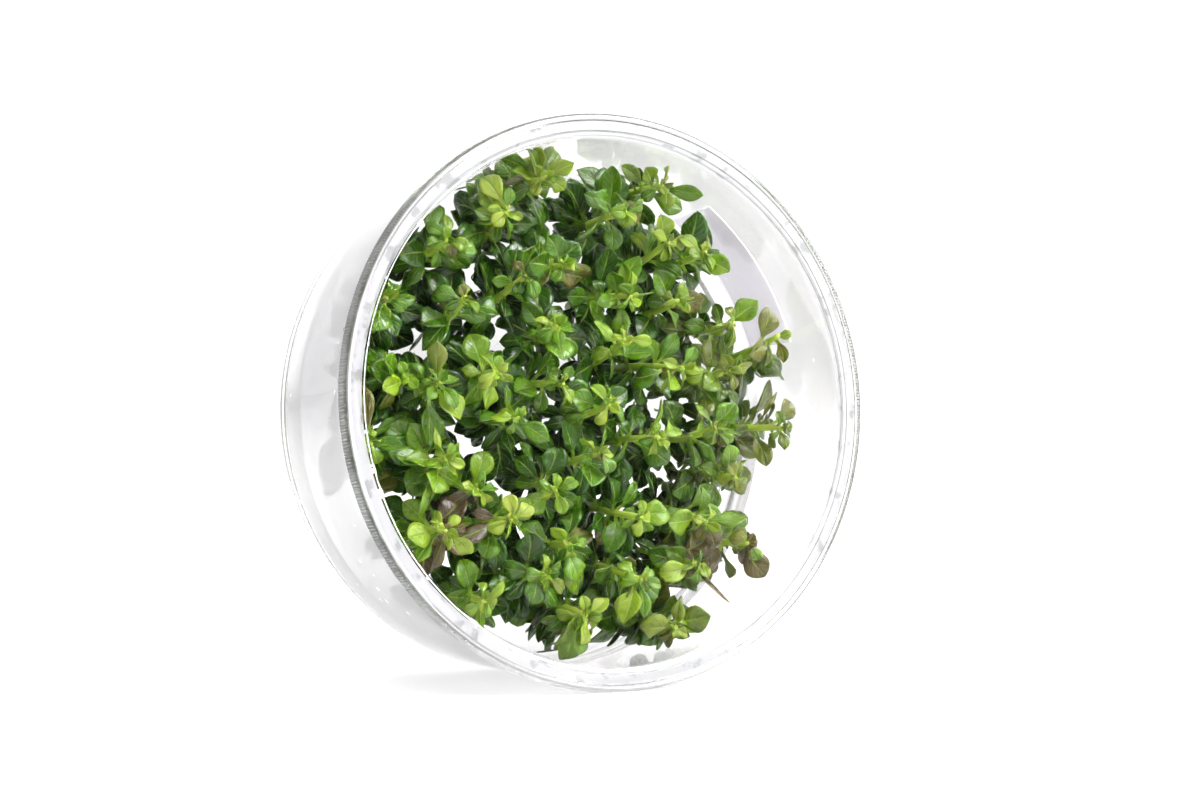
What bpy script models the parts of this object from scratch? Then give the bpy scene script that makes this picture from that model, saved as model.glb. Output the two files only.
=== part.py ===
"""Tissue culture of Ludwigia peruensis in a clear round cup that lies on its side.

Every piece is first built in the cup's own frame: the base at z = 0, the mouth up, +Y towards
what becomes the top. An empty then lays the cup down, mouth towards -Y and a little up, so that
it rests on the lid's skirt and the edge of the base. Lengths below are in millimetres.
"""
import math
import random

import bmesh
import bpy
from mathutils import Vector
from mathutils.bvhtree import BVHTree

MM = 0.001
NAME = "ludwigia_culture"

# Turned pieces, and the gap kept between neighbouring pieces
SEGMENTS = 40
SHARP_ANGLE = math.radians(25)
CLEAR = 0.3

# Cup: profile radii and heights, outside first
BASE_R = 45.5
BASE_EDGE_Z = 1.0
BASE_BEVEL = 0.6
FOOT_R = 42.5
FOOT_H = 0.8
FOOT_BEVEL = 0.4
BASE_TOP = 2.0
NECK_R = 48.0
NECK_Z = 35.0
NECK_STEP = 0.9
RIM_R = 48.6
RIM_TOP = 38.9
WALL = 1.0
MOUTH_FLARE = 0.4
INNER_CORNER = 2.5

# Lid
LID_TOP = 40.0
LID_R = 50.0
LID_EDGE = 0.9
LID_SKIRT_Z = 37.0
LID_SHEET = 0.8
PANEL_R = 46.3
PANEL_TOP = 38.6

# Nutrient gel
GEL_TOP = 10.5

# Label on the outside of the wall
LABEL_FROM_Z = 10.0
LABEL_TO_Z = 23.0
LABEL_THICK = 0.2
LABEL_GAP = 0.35
LABEL_FIRST_STEP = 1
LABEL_STEPS = 4

# Flat that the lying cup rests on: how deep it cuts into skirt and base
FLAT = 0.43

# Stems
SEED = 47
SHOOTS = 46
GOLDEN_ANGLE = math.radians(137.508)
FEET_REACH = 38.5
FEET_JITTER = 1.5
STEM_FOOT_R = 0.85
STEM_TIP_R = 0.5
STEM_FOOT_LIFT = 0.35
STEM_SPANS = 3
STEM_HEIGHT = (18.5, 24.0)
STEM_DOME = 3.0
STEM_SPREAD = 0.1
STEM_SWAY = 2.4
STEM_BOW = 1.2
LEAN_CURVE = 1.4
TIP_REACH = 42.0

# Leaves along a stem: where they sit, their size and how they open, in degrees
LEAVES = 5
LEAF_LEVELS = (0.2, 0.87)
LEAF_LONG = (10.0, 13.0)
LEAF_SHORT = (6.0, 8.0)
LEAF_BROAD = (0.22, 0.31)
LEAF_OPEN = (58.0, 76.0)
LEAF_CLOSING = 26.0
LEAF_CURL = (5.0, 60.0)
LEAF_CUP = (0.12, 0.42)
LEAF_ROLL = 0.5
LEAF_TURN = 0.2
LEAF_TRIES = 12
LEAF_SHRINK = 0.94

# The small leaf that ends a stem
TIP_LENGTH = (3.0, 3.8)
TIP_BROAD = 0.24
TIP_OPEN = 12.0
TIP_CURL = 45.0
TIP_CUP = 0.3
TIP_ROOT = 0.97

# Cross-section of a leaf
STALK_HALF = 0.32
STALK_END = 0.28
BLADE_SKEW = 1.15
BLADE_FULL = 0.75
KEEL = 0.34
LOFT_STATIONS = (0.0, 0.62)

# Room kept around a leaf
FIT_STATIONS = (0.0, 0.3, 0.5, 0.68, 0.86)
LEAF_GAP = 0.17
WALL_GAP = 0.55
FLOOR_GAP = 0.1

GREENS = {"old": (0.035, 0.13, 0.02), "mid": (0.07, 0.22, 0.03), "young": (0.17, 0.36, 0.05)}
CLEAR_PLASTIC = (0.93, 0.94, 0.95)
PAPER = (0.72, 0.71, 0.74)
AGAR = (0.90, 0.91, 0.88)


def clear_scene():
    for obj in list(bpy.data.objects):
        bpy.data.objects.remove(obj)


def new_collection(name):
    collection = bpy.data.collections.new(name)
    bpy.context.scene.collection.children.link(collection)
    return collection


def plain_material(name, color, roughness, transmission=0.0):
    material = bpy.data.materials.new(name)
    material.use_nodes = True
    shader = material.node_tree.nodes["Principled BSDF"]
    shader.inputs["Base Color"].default_value = (*color, 1.0)
    shader.inputs["Roughness"].default_value = roughness
    shader.inputs["Metallic"].default_value = 0.0
    shader.inputs["Transmission Weight"].default_value = transmission
    material.diffuse_color = (*color, 1.0)
    return material


def add_object(name, mesh, collection, material=None, parent=None):
    obj = bpy.data.objects.new(name, mesh)
    collection.objects.link(obj)
    obj.parent = parent
    if material is not None:
        mesh.materials.append(material)
    return obj


def arc(centre, radius, start, end, steps):
    """Points on an arc in the (r, z) plane, both ends included, angles in degrees."""
    points = []
    for i in range(steps + 1):
        angle = math.radians(start + (end - start) * i / steps)
        points.append((centre[0] + radius * math.cos(angle), centre[1] + radius * math.sin(angle)))
    return points


def taken_mesh(guide, name):
    """The evaluated shape of an object as a plain mesh; the object itself is removed."""
    depsgraph = bpy.context.evaluated_depsgraph_get()
    mesh = bpy.data.meshes.new_from_object(guide.evaluated_get(depsgraph))
    mesh.name = name
    bpy.data.objects.remove(guide)
    return mesh


def turned(name, profile, collection, material, parent):
    """An open profile of (r, z) points, both ends on the axis, turned to a closed body."""
    line = bpy.data.meshes.new(name + "_profile")
    points = [(r * MM, 0.0, z * MM) for r, z in profile]
    line.from_pydata(points, [(i, i + 1) for i in range(len(points) - 1)], [])
    guide = add_object(name + "_profile", line, collection)
    screw = guide.modifiers.new("turn", "SCREW")
    screw.steps = SEGMENTS
    screw.render_steps = SEGMENTS
    screw.use_merge_vertices = True
    screw.merge_threshold = 0.00001
    mesh = taken_mesh(guide, name)
    mesh.shade_smooth()
    mesh.set_sharp_from_angle(angle=SHARP_ANGLE)
    obj = add_object(name, mesh, collection, material, parent)
    obj.rotation_euler.z = math.pi / SEGMENTS
    return obj


def outer_wall_r(z):
    """Radius of the cup's outer wall at height z, below the neck."""
    return BASE_R + (NECK_R - BASE_R) * (z - BASE_EDGE_Z) / (NECK_Z - BASE_EDGE_Z)


def inner_wall_r(z):
    return outer_wall_r(min(z, NECK_Z)) - WALL


def cup_profile():
    """The cup from its axis over the base's underside, up the outside and down the inside."""
    corner_r = inner_wall_r(BASE_TOP + INNER_CORNER)
    corner = arc((corner_r - INNER_CORNER, BASE_TOP + INNER_CORNER), INNER_CORNER, 0, -90, 2)
    foot = [(0.0, FOOT_H), (FOOT_R, FOOT_H), (FOOT_R + FOOT_BEVEL, 0.0), (BASE_R - BASE_BEVEL, 0.0)]
    wall = [(BASE_R, BASE_EDGE_Z), (NECK_R, NECK_Z), (RIM_R, NECK_Z + NECK_STEP), (RIM_R, RIM_TOP)]
    mouth = [(inner_wall_r(NECK_Z) + MOUTH_FLARE, RIM_TOP), (inner_wall_r(NECK_Z), NECK_Z)]
    profile = foot + wall + mouth + corner + [(0.0, BASE_TOP)]
    return profile[::-1]


def lid_profile():
    """The lid from its axis over the panel and the raised edge, and back underneath to the axis."""
    skirt_r = RIM_R + CLEAR
    under = LID_TOP - LID_SHEET
    plug_r = PANEL_R + LID_SHEET
    panel_under = PANEL_TOP - LID_SHEET
    top = [(0.0, PANEL_TOP), (PANEL_R, PANEL_TOP), (PANEL_R, LID_TOP), (LID_R - LID_EDGE, LID_TOP)]
    skirt = [(LID_R, LID_TOP - LID_EDGE), (LID_R, LID_SKIRT_Z), (skirt_r, LID_SKIRT_Z)]
    below = [(skirt_r, under), (plug_r, under), (plug_r, panel_under), (0.0, panel_under)]
    return top + skirt + below


def gel_profile():
    """The gel: a disc that follows the cup's inside, a gap away from it."""
    bottom = BASE_TOP + CLEAR
    side_r = inner_wall_r(BASE_TOP + INNER_CORNER) - CLEAR
    top_r = inner_wall_r(GEL_TOP) - CLEAR
    lower = [(side_r, bottom + INNER_CORNER), (side_r - INNER_CORNER, bottom), (0.0, bottom)]
    return [(0.0, GEL_TOP), (top_r, GEL_TOP)] + lower


def make_label(collection, material, parent):
    """A strip of the wall's cone between two facet lines, thickened outwards."""
    mesh = bpy.data.meshes.new("label")
    bm = bmesh.new()
    bmesh.ops.create_grid(bm, x_segments=LABEL_STEPS, y_segments=1, size=0.5)
    step = 2 * math.pi / SEGMENTS
    first = (LABEL_FIRST_STEP + 0.5) * step
    for vert in bm.verts:
        z = LABEL_FROM_Z + (vert.co.y + 0.5) * (LABEL_TO_Z - LABEL_FROM_Z)
        angle = first + (vert.co.x + 0.5) * LABEL_STEPS * step
        r = outer_wall_r(z) + LABEL_GAP
        vert.co = (r * MM * math.cos(angle), r * MM * math.sin(angle), z * MM)
    bm.to_mesh(mesh)
    bm.free()
    obj = add_object("label", mesh, collection, material, parent)
    paper = obj.modifiers.new("paper", "SOLIDIFY")
    paper.thickness = LABEL_THICK * MM
    paper.offset = 1.0
    return obj


def lying_angle():
    """How far the mouth tips up when skirt and base edge touch the same floor."""
    return math.atan2(LID_R - BASE_R, LID_SKIRT_Z - BASE_EDGE_Z)


def make_pose(collection):
    """The empty that lays the cup down; the floor then cuts the flat."""
    tilt = lying_angle()
    pose = bpy.data.objects.new("pose", None)
    collection.objects.link(pose)
    pose.rotation_euler.x = math.pi / 2 - tilt
    lift = LID_R * math.cos(tilt) - LID_SKIRT_Z * math.sin(tilt) - FLAT
    pose.location.z = lift * MM
    return pose


def floor_cutter(collection):
    bpy.ops.mesh.primitive_cube_add(size=0.2, location=(0.0, 0.0, -0.1))
    cutter = bpy.context.object
    cutter.name = "below_the_floor"
    for holder in list(cutter.users_collection):
        holder.objects.unlink(cutter)
    collection.objects.link(cutter)
    cutter.hide_render = True
    cutter.display_type = "WIRE"
    return cutter


def rest_flat(obj, cutter):
    flat = obj.modifiers.new("rest_flat", "BOOLEAN")
    flat.operation = "DIFFERENCE"
    flat.object = cutter


# Growth rule of the shoots


def stem_point(shoot, t):
    """Centre of a stem at 0 (foot) to 1 (tip)."""
    bow = t * (1.0 - t) * 4.0
    return shoot["foot"] + shoot["lean"] * t ** LEAN_CURVE + shoot["bow"] * bow


def stem_frame(shoot, t):
    axis = (stem_point(shoot, min(t + 0.05, 1.0)) - stem_point(shoot, max(t - 0.05, 0.0))).normalized()
    side = axis.cross(Vector((0.0, 1.0, 0.0))).normalized()
    return axis, side


def stem_radius(t):
    return STEM_FOOT_R + (STEM_TIP_R - STEM_FOOT_R) * t


def plan_stems(rng):
    """Feet in a sunflower pattern on the gel, each stem leaning outwards and swaying a little."""
    shoots = []
    for i in range(SHOOTS):
        reach = FEET_REACH * math.sqrt((i + 0.5) / SHOOTS)
        angle = i * GOLDEN_ANGLE
        x = reach * math.cos(angle) + rng.uniform(-FEET_JITTER, FEET_JITTER)
        y = reach * math.sin(angle) + rng.uniform(-FEET_JITTER, FEET_JITTER)
        height = rng.uniform(*STEM_HEIGHT) - STEM_DOME * (reach / FEET_REACH) ** 2
        tip_x = x * (1.0 + STEM_SPREAD) + rng.uniform(-STEM_SWAY, STEM_SWAY)
        tip_y = y * (1.0 + STEM_SPREAD) + rng.uniform(-STEM_SWAY, STEM_SWAY)
        keep = min(1.0, TIP_REACH / math.hypot(tip_x, tip_y))
        shoots.append({
            "foot": Vector((x, y, GEL_TOP + CLEAR + STEM_FOOT_LIFT)),
            "lean": Vector((tip_x * keep - x, tip_y * keep - y, height)),
            "bow": Vector((rng.uniform(-STEM_BOW, STEM_BOW), rng.uniform(-STEM_BOW, STEM_BOW), 0.0)),
            "turn": rng.uniform(0.0, 2 * math.pi),
            "leaves": [],
        })
    return shoots


def leaf_path(leaf, s):
    """Point, direction and upper side on a leaf's midrib at 0 (root) to 1 (tip)."""
    steps = 12
    point = leaf["root"].copy()
    for i in range(steps):
        angle = leaf["open"] + leaf["curl"] * s * (i + 0.5) / steps
        ahead = leaf["axis"] * math.cos(angle) + leaf["out"] * math.sin(angle)
        point += ahead * (leaf["length"] * s / steps)
    angle = leaf["open"] + leaf["curl"] * s
    ahead = leaf["axis"] * math.cos(angle) + leaf["out"] * math.sin(angle)
    upper = leaf["axis"] * math.sin(angle) - leaf["out"] * math.cos(angle)
    return point, ahead, upper


def leaf_half_width(leaf, s):
    """Spatulate outline: a narrow stalk, widest past the middle, a blunt tip."""
    if s < STALK_END:
        return STALK_HALF
    u = (s - STALK_END) / (1.0 - STALK_END)
    blade = math.sin(math.pi * u ** BLADE_SKEW) ** BLADE_FULL
    return STALK_HALF * (1.0 - u) + leaf["width"] * blade


def leaf_section(leaf, s, grow):
    """Left edge, right edge and keel of a leaf at s."""
    point, ahead, upper = leaf_path(leaf, s)
    side = ahead.cross(upper)
    half = leaf_half_width(leaf, s) + grow
    across = side * math.cos(leaf["roll"]) + upper * math.sin(leaf["roll"])
    face = upper * math.cos(leaf["roll"]) - side * math.sin(leaf["roll"])
    cup = face * (leaf["cup"] * half)
    keel = point - face * (KEEL + grow)
    return [point - across * half + cup, point + across * half + cup, keel]


def loft_faces(rows):
    """Triangles of a loft through three-point rows that ends in one point, as index tuples."""
    faces = [(2, 1, 0)]
    for row in range(rows - 1):
        for i in range(3):
            a, b = row * 3 + i, row * 3 + (i + 1) % 3
            faces.append((a, b, b + 3))
            faces.append((a, b + 3, a + 3))
    last = (rows - 1) * 3
    for i in range(3):
        faces.append((last + i, last + (i + 1) % 3, last + 3))
    return faces


def leaf_points(leaf, stations, grow=0.0):
    points = []
    for s in stations:
        points += leaf_section(leaf, s, grow)
    tip, ahead, _ = leaf_path(leaf, 1.0)
    return points + [tip + ahead * grow]


def tree_of(points, faces):
    return BVHTree.FromPolygons([tuple(p) for p in points], faces)


def stem_tree(shoot):
    points = []
    faces = []
    rings = 7
    for ring in range(rings):
        t = ring / (rings - 1)
        axis, side = stem_frame(shoot, t)
        other = axis.cross(side)
        radius = stem_radius(t) + 2 * LEAF_GAP
        for k in range(6):
            angle = math.radians(60 * k)
            points.append(stem_point(shoot, t) + (side * math.cos(angle) + other * math.sin(angle)) * radius)
    for ring in range(rings - 1):
        for k in range(6):
            a, b = ring * 6 + k, ring * 6 + (k + 1) % 6
            faces.append((a, b, b + 6, a + 6))
    return tree_of(points, faces)


def inside_cup(points):
    """True where every point keeps off the wall, the gel and the lid."""
    lid_under = PANEL_TOP - LID_SHEET
    for p in points:
        if p.z < GEL_TOP + CLEAR + FLOOR_GAP or p.z > lid_under - WALL_GAP:
            return False
        if math.hypot(p.x, p.y) > inner_wall_r(p.z) - WALL_GAP:
            return False
    return True


def fits(leaf, owner, shoots, stems):
    """True where a leaf is inside the cup and touches no stem or leaf that is already there."""
    body = leaf_points(leaf, FIT_STATIONS, LEAF_GAP)
    if not inside_cup(body):
        return False
    whole = tree_of(body, loft_faces(len(FIT_STATIONS)))
    blade = tree_of(body[6:], loft_faces(len(FIT_STATIONS) - 2))
    centre = leaf_path(leaf, 0.55)[0]
    for index, shoot in enumerate(shoots):
        if index != owner and whole.overlap(stems[index]):
            return False
        for other in shoot["leaves"]:
            if (other["centre"] - centre).length > 0.75 * (other["length"] + leaf["length"]):
                continue
            mine, theirs = (blade, other["blade"]) if index == owner else (whole, other["whole"])
            if mine.overlap(theirs):
                return False
    leaf["whole"] = whole
    leaf["blade"] = blade
    leaf["centre"] = centre
    return True


def plan_leaf(shoot, node, attempt, rng):
    """One leaf on a stem: long and wide open low down, short and upright near the tip."""
    first, last = LEAF_LEVELS
    t = first + (last - first) * node / (LEAVES - 1)
    axis, side = stem_frame(shoot, t)
    other = axis.cross(side)
    stray = rng.uniform(-LEAF_TURN, LEAF_TURN) * (1 + attempt)
    azimuth = shoot["turn"] + node * GOLDEN_ANGLE + stray
    out = side * math.cos(azimuth) + other * math.sin(azimuth)
    low = rng.uniform(*LEAF_LONG)
    high = rng.uniform(*LEAF_SHORT)
    length = (low + (high - low) * t) * LEAF_SHRINK ** attempt
    return {
        "axis": axis,
        "out": out,
        "root": stem_point(shoot, t),
        "length": length,
        "width": length * rng.uniform(*LEAF_BROAD),
        "open": math.radians(rng.uniform(*LEAF_OPEN) - LEAF_CLOSING * t),
        "curl": math.radians(rng.uniform(*LEAF_CURL)),
        "cup": rng.uniform(*LEAF_CUP),
        "roll": rng.uniform(-LEAF_ROLL, LEAF_ROLL),
    }


def plan_tip(shoot, rng):
    """The small upright leaf that ends a shoot."""
    axis, side = stem_frame(shoot, 1.0)
    other = axis.cross(side)
    azimuth = shoot["turn"] + LEAVES * GOLDEN_ANGLE
    length = rng.uniform(*TIP_LENGTH)
    return {
        "axis": axis,
        "out": side * math.cos(azimuth) + other * math.sin(azimuth),
        "root": stem_point(shoot, TIP_ROOT),
        "length": length,
        "width": length * TIP_BROAD,
        "open": math.radians(TIP_OPEN),
        "curl": math.radians(TIP_CURL),
        "cup": TIP_CUP,
        "roll": 0.0,
    }


def grow_colony():
    """All shoots with the leaves that find room, planned level by level over the whole colony."""
    rng = random.Random(SEED)
    shoots = plan_stems(rng)
    stems = [stem_tree(shoot) for shoot in shoots]
    for index, shoot in enumerate(shoots):
        tip = plan_tip(shoot, rng)
        if fits(tip, index, shoots, stems):
            shoot["leaves"].append(tip)
    for node in reversed(range(LEAVES)):
        for index, shoot in enumerate(shoots):
            for attempt in range(LEAF_TRIES):
                leaf = plan_leaf(shoot, node, attempt, rng)
                if fits(leaf, index, shoots, stems):
                    shoot["leaves"].append(leaf)
                    break
    return shoots


def stem_mesh(shoot, name):
    """A stem as a tapered curve with filled caps, taken as a mesh."""
    curve = bpy.data.curves.new(name, "CURVE")
    curve.dimensions = "3D"
    curve.bevel_depth = MM
    curve.bevel_resolution = 0
    curve.use_fill_caps = True
    spline = curve.splines.new("POLY")
    spline.points.add(STEM_SPANS)
    for i, point in enumerate(spline.points):
        t = i / STEM_SPANS
        point.co = (*(stem_point(shoot, t) * MM), 1.0)
        point.radius = stem_radius(t)
    guide = bpy.data.objects.new(name, curve)
    bpy.context.scene.collection.objects.link(guide)
    mesh = taken_mesh(guide, name)
    bm = bmesh.new()
    bm.from_mesh(mesh)
    bmesh.ops.remove_doubles(bm, verts=bm.verts, dist=0.000001)
    bmesh.ops.recalc_face_normals(bm, faces=bm.faces)
    bm.to_mesh(mesh)
    bm.free()
    return mesh


def leaves_mesh(shoot, name):
    """All leaves of a shoot as closed lofts in one mesh."""
    bm = bmesh.new()
    for leaf in shoot["leaves"]:
        verts = [bm.verts.new(p * MM) for p in leaf_points(leaf, LOFT_STATIONS)]
        for face in loft_faces(len(LOFT_STATIONS)):
            bm.faces.new([verts[i] for i in face])
    mesh = bpy.data.meshes.new(name)
    bm.to_mesh(mesh)
    bm.free()
    return mesh


def make_shoot(number, shoot, collection, cutters, material, parent):
    name = "shoot_%02d" % number
    stem = add_object(name, stem_mesh(shoot, name), collection, material, parent)
    leaves = add_object(name + "_leaves", leaves_mesh(shoot, name + "_leaves"), cutters, None, parent)
    leaves.hide_render = True
    leaves.display_type = "WIRE"
    join = stem.modifiers.new("leaves", "BOOLEAN")
    join.operation = "UNION"
    join.object = leaves
    return stem


def centre_over_origin(pose, pieces):
    """Slides the pose so that the pieces' box is centred on the origin in X and Y."""
    bpy.context.view_layer.update()
    depsgraph = bpy.context.evaluated_depsgraph_get()
    low = Vector((1.0, 1.0, 1.0))
    high = -low
    for piece in pieces:
        shape = piece.evaluated_get(depsgraph)
        for corner in (shape.matrix_world @ v.co for v in shape.data.vertices):
            for k in range(3):
                low[k] = min(low[k], corner[k])
                high[k] = max(high[k], corner[k])
    pose.location.x -= (low.x + high.x) / 2
    pose.location.y -= (low.y + high.y) / 2


def build():
    clear_scene()
    parts = new_collection(NAME)
    cutters = new_collection("cutters")
    pose = make_pose(parts)
    clear_plastic = plain_material("clear_plastic", CLEAR_PLASTIC, 0.05, 0.9)
    lid_plastic = plain_material("lid_plastic", CLEAR_PLASTIC, 0.05, 0.9)
    paper = plain_material("label_paper", PAPER, 0.6)
    agar = plain_material("clear_gel", AGAR, 0.1, 0.9)
    shades = [plain_material("leaf_" + shade, color, 0.35) for shade, color in GREENS.items()]

    cup = turned("cup", cup_profile(), parts, clear_plastic, pose)
    lid = turned("lid", lid_profile(), parts, lid_plastic, pose)
    turned("gel", gel_profile(), parts, agar, pose)
    make_label(parts, paper, pose)
    cutter = floor_cutter(cutters)
    rest_flat(cup, cutter)
    rest_flat(lid, cutter)
    for number, shoot in enumerate(grow_colony(), 1):
        make_shoot(number, shoot, parts, cutters, shades[number % len(shades)], pose)
    centre_over_origin(pose, (cup, lid))


build()
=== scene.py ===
import math
import random

import bmesh
import bpy
from mathutils import Matrix, Vector
from mathutils.bvhtree import BVHTree


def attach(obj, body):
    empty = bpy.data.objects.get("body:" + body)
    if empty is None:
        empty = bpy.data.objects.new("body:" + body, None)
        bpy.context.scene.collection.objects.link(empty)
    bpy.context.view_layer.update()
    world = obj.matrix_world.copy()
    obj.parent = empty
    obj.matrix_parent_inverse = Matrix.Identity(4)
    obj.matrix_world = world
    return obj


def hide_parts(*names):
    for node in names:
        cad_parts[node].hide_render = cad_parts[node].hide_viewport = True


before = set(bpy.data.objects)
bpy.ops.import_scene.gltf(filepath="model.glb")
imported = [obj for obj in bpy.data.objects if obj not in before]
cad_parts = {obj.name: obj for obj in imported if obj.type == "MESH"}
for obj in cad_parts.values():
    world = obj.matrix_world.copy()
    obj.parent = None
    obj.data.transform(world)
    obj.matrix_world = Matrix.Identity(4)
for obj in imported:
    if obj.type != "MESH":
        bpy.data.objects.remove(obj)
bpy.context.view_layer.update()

# Cup, lid and gel: radii and heights of the solids
BASE_R = 45.5
BASE_EDGE_Z = 1.0
BASE_BEVEL = 0.6
FOOT_R = 42.5
FOOT_H = 0.8
FOOT_BEVEL = 0.4
BASE_TOP = 2.0
NECK_R = 48.0
NECK_Z = 35.0
NECK_STEP = 0.9
RIM_R = 48.6
RIM_TOP = 38.9
WALL = 1.0
MOUTH_FLARE = 0.4
INNER_CORNER = 2.5
LID_TOP = 40.0
LID_R = 50.0
LID_EDGE = 0.9
LID_SKIRT_Z = 37.0
LID_SHEET = 0.8
PANEL_R = 46.3
PANEL_TOP = 38.6
GEL_TOP = 10.5
MENISCUS = 0.25
CLEAR = 0.3
LABEL_FROM_Z = 10.0
LABEL_TO_Z = 23.0
LABEL_GAP = 0.35
LABEL_THICK = 0.2
LABEL_ANGLES = (13.5, 49.5)

# A round turned piece keeps to the flats of the faceted solid
FACETS = 40
ROUND = math.cos(math.pi / FACETS)
TURN_STEPS = 160
RIBS = 560
RIB_DEPTH = 0.22
WETTED = 0.05
FILM_FULL_Z = 16.0

# Pose of the lying cup
TILT = math.atan2(LID_R - BASE_R, LID_SKIRT_Z - BASE_EDGE_Z)
POSE = Matrix.Translation((0.0, 0.020105, 0.044595)) @ Matrix.Rotation(math.pi / 2 - TILT, 4, "X")
TO_WORLD = POSE @ Matrix.Scale(0.001, 4)

# Growth of the shoots, as in the solids
SEED = 47
SHOOTS = 46
GOLDEN_ANGLE = math.radians(137.508)
FEET_REACH = 38.5
FEET_JITTER = 1.5
STEM_FOOT_R = 0.85
STEM_TIP_R = 0.5
STEM_FOOT_LIFT = 0.35
STEM_HEIGHT = (18.5, 24.0)
STEM_DOME = 3.0
STEM_SPREAD = 0.1
STEM_SWAY = 2.4
STEM_BOW = 1.2
LEAN_CURVE = 1.4
TIP_REACH = 42.0
LEAVES = 5
LEAF_LEVELS = (0.2, 0.87)
LEAF_LONG = (10.0, 13.0)
LEAF_SHORT = (6.0, 8.0)
LEAF_BROAD = (0.22, 0.31)
LEAF_OPEN = (58.0, 76.0)
LEAF_CLOSING = 26.0
LEAF_CURL = (5.0, 60.0)
LEAF_CUP = (0.12, 0.42)
LEAF_ROLL = 0.5
LEAF_TURN = 0.2
LEAF_TRIES = 12
LEAF_SHRINK = 0.94
TIP_LENGTH = (3.0, 3.8)
TIP_BROAD = 0.24
TIP_OPEN = 12.0
TIP_CURL = 45.0
TIP_CUP = 0.3
TIP_ROOT = 0.97
STALK_HALF = 0.32
STALK_END = 0.28
BLADE_SKEW = 1.15
BLADE_FULL = 0.75
KEEL = 0.34
FIT_STATIONS = (0.0, 0.3, 0.5, 0.68, 0.86)
# Leaves of one stem are compared from this station on: their stalks may touch
BLADE_FROM = 2
LEAF_CENTRE = 0.55
# Leaves further apart than this share of their two lengths can't touch
OUT_OF_TOUCH = 0.75
AXIS_STEP = 0.05
PATH_STEPS = 12
GUARD_RINGS = 7
GUARD_SIDES = 6
LEAF_GAP = 0.17
WALL_GAP = 0.55
FLOOR_GAP = 0.1


def stem_point(shoot, t):
    """Centre of a stem at 0 (foot) to 1 (tip)."""
    bow = t * (1.0 - t) * 4.0
    return shoot["foot"] + shoot["lean"] * t ** LEAN_CURVE + shoot["bow"] * bow


def stem_frame(shoot, t):
    """The stem's direction at t and a direction square to it."""
    above = stem_point(shoot, min(t + AXIS_STEP, 1.0))
    below = stem_point(shoot, max(t - AXIS_STEP, 0.0))
    axis = (above - below).normalized()
    side = axis.cross(Vector((0.0, 1.0, 0.0))).normalized()
    return axis, side


def stem_radius(t):
    return STEM_FOOT_R + (STEM_TIP_R - STEM_FOOT_R) * t


def plan_stems(rng):
    """Feet in a sunflower pattern on the gel, each stem leaning outwards and swaying a little."""
    shoots = []
    for i in range(SHOOTS):
        reach = FEET_REACH * math.sqrt((i + 0.5) / SHOOTS)
        angle = i * GOLDEN_ANGLE
        x = reach * math.cos(angle) + rng.uniform(-FEET_JITTER, FEET_JITTER)
        y = reach * math.sin(angle) + rng.uniform(-FEET_JITTER, FEET_JITTER)
        height = rng.uniform(*STEM_HEIGHT) - STEM_DOME * (reach / FEET_REACH) ** 2
        tip_x = x * (1.0 + STEM_SPREAD) + rng.uniform(-STEM_SWAY, STEM_SWAY)
        tip_y = y * (1.0 + STEM_SPREAD) + rng.uniform(-STEM_SWAY, STEM_SWAY)
        keep = min(1.0, TIP_REACH / math.hypot(tip_x, tip_y))
        shoots.append({
            "foot": Vector((x, y, GEL_TOP + CLEAR + STEM_FOOT_LIFT)),
            "lean": Vector((tip_x * keep - x, tip_y * keep - y, height)),
            "bow": Vector((rng.uniform(-STEM_BOW, STEM_BOW), rng.uniform(-STEM_BOW, STEM_BOW), 0.0)),
            "turn": rng.uniform(0.0, 2 * math.pi),
            "leaves": [],
        })
    return shoots


def leaf_path(leaf, s):
    """Point, direction and upper side on a leaf's midrib at 0 (root) to 1 (tip)."""
    point = leaf["root"].copy()
    for i in range(PATH_STEPS):
        angle = leaf["open"] + leaf["curl"] * s * (i + 0.5) / PATH_STEPS
        ahead = leaf["axis"] * math.cos(angle) + leaf["out"] * math.sin(angle)
        point += ahead * (leaf["length"] * s / PATH_STEPS)
    angle = leaf["open"] + leaf["curl"] * s
    ahead = leaf["axis"] * math.cos(angle) + leaf["out"] * math.sin(angle)
    upper = leaf["axis"] * math.sin(angle) - leaf["out"] * math.cos(angle)
    return point, ahead, upper


def leaf_half_width(leaf, s):
    """Spatulate outline: a narrow stalk, widest past the middle, a blunt tip."""
    if s < STALK_END:
        return STALK_HALF
    u = (s - STALK_END) / (1.0 - STALK_END)
    blade = max(math.sin(math.pi * min(u, 1.0) ** BLADE_SKEW), 0.0) ** BLADE_FULL
    return STALK_HALF * (1.0 - u) + leaf["width"] * blade


def leaf_section(leaf, s, grow):
    """Left edge, right edge and keel of a leaf at s."""
    point, ahead, upper = leaf_path(leaf, s)
    side = ahead.cross(upper)
    half = leaf_half_width(leaf, s) + grow
    across = side * math.cos(leaf["roll"]) + upper * math.sin(leaf["roll"])
    face = upper * math.cos(leaf["roll"]) - side * math.sin(leaf["roll"])
    cup = face * (leaf["cup"] * half)
    keel = point - face * (KEEL + grow)
    return [point - across * half + cup, point + across * half + cup, keel]


def loft_faces(rows):
    """Triangles of a loft through three-point rows that ends in one point, as index tuples."""
    faces = [(2, 1, 0)]
    for row in range(rows - 1):
        for i in range(3):
            a, b = row * 3 + i, row * 3 + (i + 1) % 3
            faces.append((a, b, b + 3))
            faces.append((a, b + 3, a + 3))
    last = (rows - 1) * 3
    for i in range(3):
        faces.append((last + i, last + (i + 1) % 3, last + 3))
    return faces


def leaf_points(leaf, stations, grow=0.0):
    points = []
    for s in stations:
        points += leaf_section(leaf, s, grow)
    tip, ahead = leaf_path(leaf, 1.0)[:2]
    return points + [tip + ahead * grow]


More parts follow.
